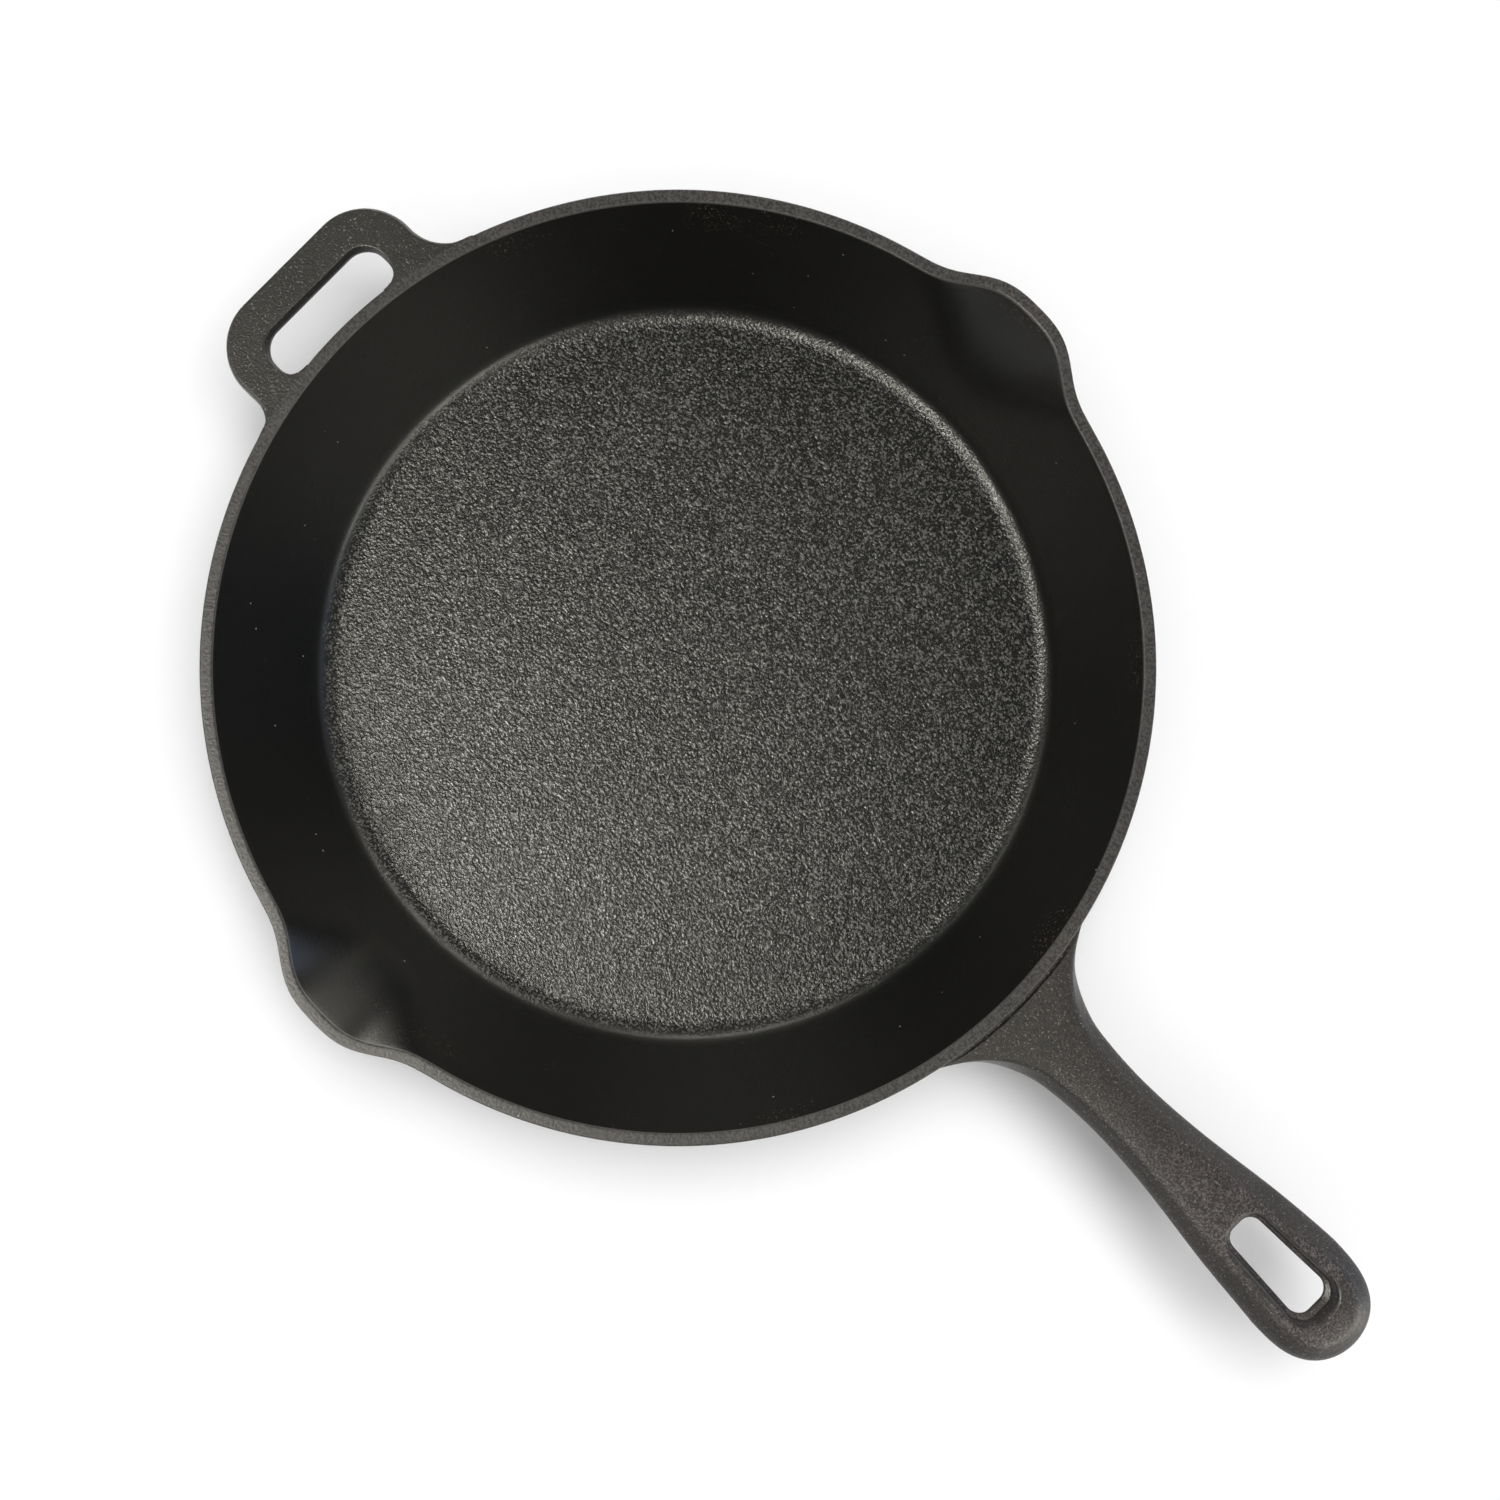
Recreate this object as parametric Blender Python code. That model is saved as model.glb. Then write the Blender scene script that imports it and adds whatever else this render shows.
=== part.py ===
"""Cast iron skillet: a round pan with two pour spouts, a long handle with a hanging slot and a
short helper handle on the far side.

Frame: metres, +Z up, origin at the centre of the flat underside, +X along the long handle.
The real skillet is one casting. Its two handles are solids of their own here, and each one ends
a hairline short of the pan's outer wall, along the line where it runs into that wall.
"""

import math

import bmesh
import bpy

# The pan
RIM_RADIUS = 0.1533
PAN_HEIGHT = 0.055
WALL_THICKNESS = 0.0043
FLOOR_THICKNESS = 0.005
WALL_LEAN = math.radians(25.5)
FLOOR_FILLET = 0.0082
BASE_ROUND = 0.009
RIM_EDGE_ROUND = 0.0006
WALL_LEVELS = 6
ARC_STEPS = 4
PAN_SEGMENTS = 120

# The pour spouts, one to each side of the handles' line, as direction and reach beyond the rim
SPOUTS = ((math.radians(90.0), 0.0104), (math.radians(-91.0), 0.0099))
SPOUT_FOOT = 0.024
SPOUT_HALF_ANGLE = math.radians(8.7)
SPOUT_FOOT_SHARE = 0.4
SPOUT_FLATNESS = 3.2
SPOUT_FLARE = 1.4

# The joint line between a handle and the wall
JOINT_GAP = 0.0003
CUT_MARGIN = 0.010

# The long handle: points on its side, as distance from the pan's centre and half width
HANDLE_SIDE = (
    (0.1300, 0.0450),
    (0.1400, 0.0440),
    (0.1470, 0.0405),
    (0.1512, 0.0318),
    (0.1600, 0.0212),
    (0.1730, 0.0143),
    (0.1860, 0.0120),
    (0.2040, 0.0114),
    (0.2260, 0.0129),
    (0.2560, 0.0168),
    (0.2800, 0.0189),
)
HANDLE_OFFSET = 0.0006
HANDLE_END = 0.3083
HANDLE_END_FULLNESS = 3.1
HANDLE_END_STEPS = 9
HANDLE_TOP_AT_ROOT = 0.0530
HANDLE_TOP_AT_END = 0.0542
HANDLE_THICKNESS = 0.0115
HANDLE_SHOULDER = 0.0043
SHOULDER_FULLNESS = 1.6
HANDLE_ROOT_DEPTH = 0.008
HANDLE_ROOT_LENGTH = 0.030
SIDE_LEVELS = 8
SPLINE_STEPS = 3

# The hanging slot, widest at the faces and narrowest halfway through
SLOT_NEAR = 0.2516
SLOT_FAR = 0.2938
SLOT_NEAR_HALF_WIDTH = 0.0079
SLOT_FAR_HALF_WIDTH = 0.0098
SLOT_NEAR_ROUND = 0.0052
SLOT_FAR_ROUND = 0.0068
SLOT_DRAFT = 0.0022
SLOT_ARC_STEPS = 5

# The helper handle
HELPER_OFFSET = 0.0018
HELPER_REACH = 0.1810
HELPER_HALF_WIDTH = 0.0372
HELPER_CORNER = 0.0192
HELPER_ROOT_ANGLE = math.radians(18.9)
HELPER_ROOT_FILLET = 0.014
HELPER_THICKNESS = 0.0075
HELPER_SHOULDER = 0.0012
HELPER_ROOT_DEPTH = 0.003
HELPER_ROOT_LENGTH = 0.012
HELPER_SLOT_OUTER = 0.1686
HELPER_SLOT_INNER = 0.1400
HELPER_SLOT_HALF_LENGTH = 0.0249
HELPER_SLOT_CORNER = 0.0085
HELPER_SLOT_DRAFT = 0.0006

# The casting's surface
IRON_COLOUR = (0.045, 0.042, 0.040, 1.0)
IRON_METALLIC = 0.35
PAN_ROUGHNESS = 0.52
HANDLE_ROUGHNESS = 0.58

WELD_DISTANCE = 0.000001
SHARP_ANGLE = math.radians(40.0)


def clear_scene():
    for obj in list(bpy.data.objects):
        bpy.data.objects.remove(obj, do_unlink=True)


def iron(name, roughness):
    material = bpy.data.materials.new(name)
    material.use_nodes = True
    shader = material.node_tree.nodes["Principled BSDF"]
    shader.inputs["Base Color"].default_value = IRON_COLOUR
    shader.inputs["Metallic"].default_value = IRON_METALLIC
    shader.inputs["Roughness"].default_value = roughness
    material.diffuse_color = IRON_COLOUR
    return material


def object_from(bm, name, material):
    """Turns a bmesh into a smooth-shaded object in the scene."""
    bmesh.ops.remove_doubles(bm, verts=bm.verts, dist=WELD_DISTANCE)
    bmesh.ops.recalc_face_normals(bm, faces=bm.faces)
    mesh = bpy.data.meshes.new(name)
    bm.to_mesh(mesh)
    bm.free()
    mesh.shade_smooth()
    mesh.set_sharp_from_angle(angle=SHARP_ANGLE)
    obj = bpy.data.objects.new(name, mesh)
    bpy.context.scene.collection.objects.link(obj)
    if material:
        mesh.materials.append(material)
    return obj


def make_cutter(obj):
    obj.hide_render = True
    obj.display_type = "WIRE"


def cut(obj, cutter):
    modifier = obj.modifiers.new("cut_" + cutter.name, "BOOLEAN")
    modifier.operation = "DIFFERENCE"
    modifier.solver = "EXACT"
    modifier.object = cutter


def smoothstep(share):
    share = min(max(share, 0.0), 1.0)
    return share * share * (3.0 - 2.0 * share)


def round_corner(before, corner, after, radius, steps):
    """Points along an arc of this radius that touches both legs of a corner."""
    back = (before[0] - corner[0], before[1] - corner[1])
    on = (after[0] - corner[0], after[1] - corner[1])
    back_length = math.hypot(*back)
    on_length = math.hypot(*on)
    back = (back[0] / back_length, back[1] / back_length)
    on = (on[0] / on_length, on[1] / on_length)
    half = 0.5 * math.acos(back[0] * on[0] + back[1] * on[1])
    tangent = radius / math.tan(half)
    bisector = (back[0] + on[0], back[1] + on[1])
    length = math.hypot(*bisector)
    reach = radius / math.sin(half) / length
    centre = (corner[0] + bisector[0] * reach, corner[1] + bisector[1] * reach)
    first = (corner[0] + back[0] * tangent - centre[0], corner[1] + back[1] * tangent - centre[1])
    side = first[1] * back[0] - first[0] * back[1]
    turn = math.copysign(math.pi - 2.0 * half, side)
    points = []
    for step in range(steps + 1):
        angle = turn * step / steps
        x = first[0] * math.cos(angle) - first[1] * math.sin(angle)
        y = first[0] * math.sin(angle) + first[1] * math.cos(angle)
        points.append((centre[0] + x, centre[1] + y))
    return points


def spline(points, steps):
    """A smooth curve through the points, with this many steps to each stretch."""
    path = []
    for index in range(len(points) - 1):
        start = points[index]
        end = points[index + 1]
        previous = points[max(index - 1, 0)]
        following = points[min(index + 2, len(points) - 1)]
        for step in range(steps):
            t = step / steps
            path.append(tuple(
                0.5 * (
                    2.0 * b
                    + (c - a) * t
                    + (2.0 * a - 5.0 * b + 4.0 * c - d) * t * t
                    + (3.0 * b - a - 3.0 * c + d) * t * t * t
                )
                for a, b, c, d in zip(previous, start, end, following)
            ))
    path.append(points[-1])
    return path


def divided(start, end, parts):
    """The points that divide a straight stretch, without its two ends."""
    return [
        (start[0] + (end[0] - start[0]) * i / parts, start[1] + (end[1] - start[1]) * i / parts)
        for i in range(1, parts)
    ]


def wall_radius(z):
    """Radius of the pan's outer wall at this height, before its edges are rounded."""
    return RIM_RADIUS - (PAN_HEIGHT - z) * math.tan(WALL_LEAN)


def pan_section():
    """Half section of the pan: floor, inner wall, rim, outer wall and underside, as (radius, z)."""
    centre = (0.0, FLOOR_THICKNESS)
    inner_foot = (wall_radius(FLOOR_THICKNESS) - WALL_THICKNESS, FLOOR_THICKNESS)
    inner_lip = (RIM_RADIUS - WALL_THICKNESS, PAN_HEIGHT)
    outer_lip = (RIM_RADIUS, PAN_HEIGHT)
    outer_foot = (wall_radius(0.0), 0.0)
    under = (0.0, 0.0)
    fillet = round_corner(centre, inner_foot, inner_lip, FLOOR_FILLET, ARC_STEPS)
    inner_edge = round_corner(inner_foot, inner_lip, outer_lip, RIM_EDGE_ROUND, 2)
    outer_edge = round_corner(inner_lip, outer_lip, outer_foot, RIM_EDGE_ROUND, 2)
    base = round_corner(outer_lip, outer_foot, under, BASE_ROUND, ARC_STEPS)
    return (
        [centre]
        + fillet
        + divided(fillet[-1], inner_edge[0], WALL_LEVELS)
        + inner_edge
        + outer_edge
        + divided(outer_edge[-1], base[0], WALL_LEVELS)
        + base
        + [under]
    )


def turned_solid(section):
    """Solid turned about Z from a section that starts and ends on the axis."""
    bm = bmesh.new()
    verts = [bm.verts.new((radius, 0.0, z)) for radius, z in section]
    edges = [bm.edges.new(pair) for pair in zip(verts, verts[1:])]
    bmesh.ops.spin(
        bm,
        geom=verts + edges,
        cent=(0.0, 0.0, 0.0),
        axis=(0.0, 0.0, 1.0),
        angle=math.tau,
        steps=PAN_SEGMENTS,
        use_merge=True,
    )
    bmesh.ops.remove_doubles(bm, verts=bm.verts, dist=WELD_DISTANCE)
    return bm


def spout_bulge(angle, z):
    """How far the wall is pushed out at this angle and height by the pour spouts."""
    rise = min(max((z - SPOUT_FOOT) / (PAN_HEIGHT - SPOUT_FOOT), 0.0), 1.0)
    half_angle = SPOUT_HALF_ANGLE * (SPOUT_FOOT_SHARE + (1.0 - SPOUT_FOOT_SHARE) * rise)
    bulge = 0.0
    for centre, reach in SPOUTS:
        off = abs(math.remainder(angle - centre, math.tau)) / half_angle
        bulge += reach * rise**SPOUT_FLARE * math.exp(-(off**SPOUT_FLATNESS))
    return bulge


def make_pan():
    bm = turned_solid(pan_section())
    for vert in bm.verts:
        radius = math.hypot(vert.co.x, vert.co.y)
        if radius > WELD_DISTANCE:
            bulge = spout_bulge(math.atan2(vert.co.y, vert.co.x), vert.co.z)
            vert.co.x *= 1.0 + bulge / radius
            vert.co.y *= 1.0 + bulge / radius
    return object_from(bm, "pan_body", iron("pan_iron", PAN_ROUGHNESS))


def make_wall_cutter():
    """The pan's outer cone, a joint gap larger, which trims both handles at the wall."""
    low = 0.0
    high = PAN_HEIGHT + CUT_MARGIN
    section = [
        (0.0, high),
        (wall_radius(high) + JOINT_GAP, high),
        (wall_radius(low) + JOINT_GAP, low),
        (0.0, low),
    ]
    cutter = object_from(turned_solid(section), "wall_cutter", None)
    make_cutter(cutter)
    return cutter


def inset_outline(half_outline, inset):
    """The half outline moved inwards, square to itself. Its last point is on the handle's axis."""
    moved = []
    for index, (x, y) in enumerate(half_outline):
        ahead = half_outline[min(index + 1, len(half_outline) - 1)]
        behind = half_outline[max(index - 1, 0)]
        along = (ahead[0] - behind[0], ahead[1] - behind[1])
        if index == len(half_outline) - 1:
            along = (0.0, -1.0)
        length = math.hypot(*along)
        moved.append((x + inset * along[1] / length, y - inset * along[0] / length))
    return moved


def handle_solid(half_outline, shoulder, top_at, bottom_at):
    """Handle with rounded sides: a stack of outlines that bulge out to the full width halfway up."""
    bm = bmesh.new()
    rings = []
    for level in range(SIDE_LEVELS + 1):
        share = math.sin(math.pi * (0.5 - level / SIDE_LEVELS))
        inset = shoulder * abs(share) ** SHOULDER_FULLNESS
        left = []
        right = []
        for (x, _), (inset_x, inset_y) in zip(half_outline, inset_outline(half_outline, inset)):
            middle = 0.5 * (top_at(x) + bottom_at(x))
            z = middle + 0.5 * (top_at(x) - bottom_at(x)) * share
            left.append(bm.verts.new((inset_x, inset_y, z)))
            right.append(bm.verts.new((inset_x, -inset_y, z)))
        bm.verts.remove(right.pop())
        rings.append((left, right))
    for (left, right), (lower_left, lower_right) in zip(rings, rings[1:]):
        ring = left + right[::-1]
        lower = lower_left + lower_right[::-1]
        for index in range(len(ring) - 1):
            bm.faces.new((ring[index], ring[index + 1], lower[index + 1], lower[index]))
    for left, right in (rings[0], rings[-1]):
        for index in range(len(right) - 1):
            bm.faces.new((left[index], left[index + 1], right[index + 1], right[index]))
        bm.faces.new((left[-2], left[-1], right[-1]))
    bm.faces.new([left[0] for left, _ in rings] + [right[0] for _, right in rings[::-1]])
    return bm


def prism_between(lower, upper, low, high, bm):
    """Closed solid between two outlines of the same number of points."""
    bottom = [bm.verts.new((x, y, low)) for x, y in lower]
    top = [bm.verts.new((x, y, high)) for x, y in upper]
    count = len(bottom)
    for index in range(count):
        after = (index + 1) % count
        bm.faces.new((bottom[index], bottom[after], top[after], top[index]))
    return bottom, top


def drafted_cutter(name, narrow, wide, middle, half_depth):
    """Cutter for a hole that is narrow halfway through and wide at both faces."""
    bm = bmesh.new()
    low_ring, middle_ring = prism_between(wide, narrow, middle - half_depth, middle, bm)
    middle_again, high_ring = prism_between(narrow, wide, middle, middle + half_depth, bm)
    bm.faces.new(low_ring)
    bm.faces.new(high_ring)
    bmesh.ops.remove_doubles(bm, verts=middle_ring + middle_again, dist=WELD_DISTANCE)
    cutter = object_from(bm, name, None)
    make_cutter(cutter)
    return cutter


def long_handle_top(x):
    share = (x - RIM_RADIUS) / (HANDLE_END - RIM_RADIUS)
    return HANDLE_TOP_AT_ROOT + (HANDLE_TOP_AT_END - HANDLE_TOP_AT_ROOT) * share


def long_handle_bottom(x):
    deeper = smoothstep((RIM_RADIUS + HANDLE_ROOT_LENGTH - x) / HANDLE_ROOT_LENGTH)
    return long_handle_top(x) - HANDLE_THICKNESS - HANDLE_ROOT_DEPTH * deeper


def long_handle_outline():
    """Side of the long handle from inside the pan's wall round to the tip on the axis."""
    side = spline(HANDLE_SIDE, SPLINE_STEPS)
    widest_x, widest_y = side[-1]
    length = HANDLE_END - widest_x
    tip = []
    for step in range(1, HANDLE_END_STEPS):
        angle = 0.5 * math.pi * step / HANDLE_END_STEPS
        x = widest_x + length * math.sin(angle) ** (2.0 / HANDLE_END_FULLNESS)
        tip.append((x, widest_y * math.cos(angle)))
    return side + tip + [(HANDLE_END, 0.0)]


def slot_outline(inset):
    """Outline of the hanging slot, wider at its far end, moved inwards by an inset."""
    near = SLOT_NEAR + inset
    far = SLOT_FAR - inset
    near_half = SLOT_NEAR_HALF_WIDTH - inset
    far_half = SLOT_FAR_HALF_WIDTH - inset
    corners = ((near, -near_half), (far, -far_half), (far, far_half), (near, near_half))
    rounds = (SLOT_NEAR_ROUND, SLOT_FAR_ROUND, SLOT_FAR_ROUND, SLOT_NEAR_ROUND)
    points = []
    for index, (corner, radius) in enumerate(zip(corners, rounds)):
        after = corners[(index + 1) % 4]
        points += round_corner(corners[index - 1], corner, after, radius - inset, SLOT_ARC_STEPS)
    return points


def make_long_handle(wall_cutter):
    bm = handle_solid(long_handle_outline(), HANDLE_SHOULDER, long_handle_top, long_handle_bottom)
    handle = object_from(bm, "long_handle", iron("long_handle_iron", HANDLE_ROUGHNESS))
    middle = 0.5 * (long_handle_top(SLOT_NEAR) + long_handle_bottom(SLOT_FAR))
    face = 0.5 * HANDLE_THICKNESS
    beyond = 2.0
    wide = slot_outline(SLOT_DRAFT * (1.0 - beyond))
    slot_cutter = drafted_cutter(
        "hanging_slot_cutter", slot_outline(SLOT_DRAFT), wide, middle, face * beyond
    )
    for obj in (handle, slot_cutter):
        obj.location.y = HANDLE_OFFSET
    cut(handle, wall_cutter)
    cut(handle, slot_cutter)
    return handle


def helper_top(_):
    return PAN_HEIGHT


def helper_bottom(x):
    deeper = smoothstep((RIM_RADIUS + HELPER_ROOT_LENGTH - x) / HELPER_ROOT_LENGTH)
    return PAN_HEIGHT - HELPER_THICKNESS - HELPER_ROOT_DEPTH * deeper


def helper_outline():
    """Side of the helper handle, as distance from the pan's centre and half width."""
    cosine = math.cos(HELPER_ROOT_ANGLE)
    sine = math.sin(HELPER_ROOT_ANGLE)
    touch = (RIM_RADIUS * cosine, RIM_RADIUS * sine)
    along = (touch[1] - HELPER_HALF_WIDTH) / cosine
    root = (touch[0] + along * sine, HELPER_HALF_WIDTH)
    corner = (HELPER_REACH, HELPER_HALF_WIDTH)
    inside = (HELPER_SLOT_INNER, touch[1])
    fillet_points = round_corner(touch, root, corner, HELPER_ROOT_FILLET, 2 * ARC_STEPS)
    corner_points = round_corner(root, corner, (HELPER_REACH, 0.0), HELPER_CORNER, 2 * ARC_STEPS)
    return [inside] + fillet_points + corner_points + [(HELPER_REACH, 0.0)]


def helper_slot_outline(inset):
    """Outline of the finger slot. Its inner side lies beyond the wall, which closes the slot."""
    outer = HELPER_SLOT_OUTER - inset
    half = HELPER_SLOT_HALF_LENGTH - inset
    inner = HELPER_SLOT_INNER
    points = [(inner, -half)]
    radius = HELPER_SLOT_CORNER - inset
    points += round_corner((inner, -half), (outer, -half), (outer, half), radius, SLOT_ARC_STEPS)
    points += round_corner((outer, -half), (outer, half), (inner, half), radius, SLOT_ARC_STEPS)
    points.append((inner, half))
    return points


def make_helper_handle(wall_cutter):
    bm = handle_solid(helper_outline(), HELPER_SHOULDER, helper_top, helper_bottom)
    handle = object_from(bm, "helper_handle", iron("helper_handle_iron", HANDLE_ROUGHNESS))
    narrow = helper_slot_outline(HELPER_SLOT_DRAFT)
    wide = helper_slot_outline(-2.0 * HELPER_SLOT_DRAFT)
    middle = PAN_HEIGHT - 0.5 * HELPER_THICKNESS
    slot_cutter = drafted_cutter("finger_slot_cutter", narrow, wide, middle, 1.5 * HELPER_THICKNESS)
    for obj in (handle, slot_cutter):
        obj.rotation_euler.z = math.pi
        obj.location.y = HELPER_OFFSET
    cut(handle, slot_cutter)
    cut(handle, wall_cutter)
    return handle


def main():
    clear_scene()
    make_pan()
    wall_cutter = make_wall_cutter()
    make_long_handle(wall_cutter)
    make_helper_handle(wall_cutter)


main()
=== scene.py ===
"""Cast iron skillet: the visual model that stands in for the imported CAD, with its studio.

Three pieces, one to each CAD node: the turned pan with its two pour spouts, the long handle with
its hanging slot, and the helper handle. The pan is a turned mesh. Each handle is the surface of a
solid described by distances, so that it runs into the pan's wall through a fillet, as one
casting does. Lengths are in metres, in the row's frame.
"""

import math

import bpy
import numpy as np
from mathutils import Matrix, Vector


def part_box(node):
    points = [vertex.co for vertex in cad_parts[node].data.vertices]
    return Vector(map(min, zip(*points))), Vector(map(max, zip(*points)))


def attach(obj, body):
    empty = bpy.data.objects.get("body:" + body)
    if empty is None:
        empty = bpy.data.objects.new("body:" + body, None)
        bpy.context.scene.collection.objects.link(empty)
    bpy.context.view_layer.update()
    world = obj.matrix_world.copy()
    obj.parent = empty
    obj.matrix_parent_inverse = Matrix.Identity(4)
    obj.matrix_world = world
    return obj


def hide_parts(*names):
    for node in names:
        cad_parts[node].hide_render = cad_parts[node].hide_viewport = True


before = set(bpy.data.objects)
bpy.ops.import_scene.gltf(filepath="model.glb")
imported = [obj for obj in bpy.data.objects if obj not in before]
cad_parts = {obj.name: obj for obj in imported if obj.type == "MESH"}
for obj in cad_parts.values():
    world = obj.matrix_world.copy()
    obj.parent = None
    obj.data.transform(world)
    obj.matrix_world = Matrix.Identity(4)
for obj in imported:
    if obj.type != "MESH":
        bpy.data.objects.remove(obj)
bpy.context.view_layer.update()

MM = 0.001

# ---------------------------------------------------------------- sizes read from the CAD frame
_, pan_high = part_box("pan_body")
_, handle_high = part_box("long_handle")
helper_low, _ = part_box("helper_handle")

PAN_HEIGHT = pan_high.z
HANDLE_END = handle_high.x
HELPER_REACH = -helper_low.x

# ---------------------------------------------------------------- the pan's section
WALL_THICKNESS = 4.3 * MM
FLOOR_THICKNESS = 5.0 * MM
WALL_LEAN = math.radians(25.5)
FLOOR_FILLET = 8.2 * MM
BASE_ROUND = 9.0 * MM
RIM_EDGE_ROUND = 0.6 * MM
PAN_SEGMENTS = 400
# Steps along the section's straight stretches, and round its corners
FLOOR_STEPS, WALL_STEPS, RIM_STEPS, OUTSIDE_STEPS, UNDER_STEPS = 24, 26, 4, 22, 16
FILLET_STEPS, INNER_EDGE_STEPS, OUTER_EDGE_STEPS, BASE_STEPS = 16, 5, 6, 12
# How far the rim's rounded edge stays inside the sharp edge that the wall and the rim would make
EDGE_SETBACK = RIM_EDGE_ROUND * (1.0 / math.tan(0.5 * (0.5 * math.pi - WALL_LEAN)) - 1.0)
RIM_RADIUS = pan_high.x + EDGE_SETBACK

# Each pour spout's direction round the pan, and how far it pushes the rim out
SPOUTS = ((math.radians(90.0), 10.4 * MM), (math.radians(-91.0), 9.9 * MM))
SPOUT_FOOT = 24.0 * MM
SPOUT_HALF_ANGLE = math.radians(8.7)
SPOUT_FOOT_SHARE = 0.4
SPOUT_FLATNESS = 3.2
SPOUT_FLARE = 1.4

# ---------------------------------------------------------------- the long handle
# One side in plan, as distance from the pan's centre and half width
HANDLE_SIDE = (
    (0.1300, 0.0450),
    (0.1400, 0.0440),
    (0.1470, 0.0405),
    (0.1512, 0.0318),
    (0.1600, 0.0212),
    (0.1730, 0.0143),
    (0.1860, 0.0120),
    (0.2040, 0.0114),
    (0.2260, 0.0129),
    (0.2560, 0.0168),
    (0.2800, 0.0189),
)
HANDLE_SIDE_STEPS = 6
HANDLE_END_STEPS = 28
HANDLE_END_FULLNESS = 3.1
HANDLE_OFFSET = 0.6 * MM
# The offset dies out over this stretch of the handle, and ends a little past nought
OFFSET_FADE_START = 0.27
OFFSET_FADE_LENGTH = 0.03
OFFSET_FADE_SHARE = 1.1
HANDLE_TOP_AT_ROOT = 53.0 * MM
HANDLE_TOP_AT_END = 54.2 * MM
HANDLE_THICKNESS = 11.5 * MM
HANDLE_ROOT_DEPTH = 8.0 * MM
HANDLE_ROOT_LENGTH = 30.0 * MM
# Width of the rounded shoulder in plan, by distance from the pan's centre
SHOULDER_AT = (0.150, 0.158, 0.166, 0.177, 0.220, 0.257, 0.280, 0.308)
SHOULDER_WIDTH = (0.0008, 0.0018, 0.0034, 0.0044, 0.0050, 0.0060, 0.0058, 0.0054)
SHOULDER_FULLNESS = 1.7
CROWN_WIDTH = 7.0 * MM
CROWN_DROP = 0.70 * MM
CROWN_LIMIT = 1.3
SHOULDER_CREASE = 0.9 * MM
SHOULDER_LIMIT = 1.2
# Fillet where the handle runs into the wall: tight at the top, then growing over this depth
ROOT_FILLET = 0.5 * MM
ROOT_FILLET_GROWTH = 7.3 * MM
ROOT_FILLET_START = 1.5 * MM
ROOT_FILLET_DEPTH = 6.0 * MM
ROOT_GROOVE = 0.9 * MM
ROOT_GROOVE_OFFSET = 0.3 * MM
ROOT_GROOVE_EDGE = 0.3 * MM
HANDLE_GRID_LOW = (0.1200, -0.0570, 0.0250)
HANDLE_GRID_HALF_WIDTH = 0.0570
HANDLE_GRID_STEP = 0.55 * MM

# The hanging slot, whose walls draft inwards to a rib halfway up
SLOT_CORNER_STEPS = 10
SLOT_LIP = 1.1 * MM
SLOT_NEAR = 252.0 * MM
SLOT_FAR = 293.8 * MM
SLOT_NEAR_HALF_WIDTH = 7.9 * MM
SLOT_FAR_HALF_WIDTH = 9.8 * MM
SLOT_NEAR_ROUND = 6.6 * MM
SLOT_FAR_ROUND = 6.8 * MM
SLOT_DRAFT = 0.9 * MM
SLOT_RIB = 1.4 * MM
SLOT_RIB_HALF_HEIGHT = 0.6 * MM
SLOT_RIB_SLOPE = 1.0 * MM
SLOT_FAR_DRAFT = 2.3 * MM
SLOT_FAR_RIB = 1.75 * MM
SLOT_FAR_START = 9.0 * MM
SLOT_FAR_LENGTH = 6.0 * MM

# ---------------------------------------------------------------- the helper handle
HELPER_OFFSET = 1.8 * MM
HELPER_HALF_WIDTH = 37.2 * MM
HELPER_CORNER = 19.2 * MM
HELPER_CORNER_STEPS = 20
HELPER_ROOT_STEPS = 16
HELPER_ROOT_ANGLE = math.radians(18.9)
HELPER_ROOT_FILLETS = (10.0 * MM, 16.5 * MM)
HELPER_THICKNESS = 7.5 * MM
HELPER_TOP_DROP = 0.02 * MM
HELPER_SHOULDER = 1.1 * MM
HELPER_CREASE = 0.5 * MM
HELPER_TOP_EDGE = 0.4 * MM
HELPER_ROOT_DEPTH = 3.0 * MM
HELPER_ROOT_LENGTH = 12.0 * MM
HELPER_SLOT_OUTER = 168.6 * MM
HELPER_SLOT_INNER = 140.0 * MM
HELPER_SLOT_HALF_LENGTH = 24.9 * MM
HELPER_SLOT_CORNER = 8.5 * MM
HELPER_SLOT_STEPS = 12
HELPER_SLOT_DRAFT = 0.6 * MM
HELPER_SLOT_LIP = 0.8 * MM
# Fillet into the wall in millimetres, and its growth underneath and between the two sides
HELPER_FILLET = 1.0
HELPER_UNDER_FILLET = 4.0
HELPER_MIDDLE_FILLET = 7.0
HELPER_MIDDLE_END = 28.0 * MM
HELPER_MIDDLE_FADE = 5.0 * MM
HELPER_UNDER_START = 3.0 * MM
HELPER_UNDER_DEPTH = 3.0 * MM
HELPER_GRID_INNER = -0.1200
HELPER_GRID_HALF_WIDTH = 0.0560
HELPER_GRID_BOTTOM = 0.0380
HELPER_GRID_STEP = 0.5 * MM

# ---------------------------------------------------------------- both handles' skins
# A handle's skin ends inside the pan's wall, this far under its surface
SKIN_SINK = 0.03 * MM
SKIN_DEPTH = 0.9 * MM
# Room round a handle in its grid, at its end and above it
GRID_END_ROOM = 1.5 * MM
GRID_TOP_ROOM = 1.0 * MM
PLAN_STEP = 0.3 * MM
PLAN_MARGIN = 3.0
SETTLE_ROUNDS = 3
SETTLE_PROBE = 0.02 * MM
NORMAL_PROBE = 0.06 * MM


# ================================================================ shared shape tools
def smoothstep(share):
    """Nought below nought, one above one, and a smooth rise between."""
    share = np.clip(share, 0.0, 1.0)
    return share * share * (3.0 - 2.0 * share)


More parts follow.
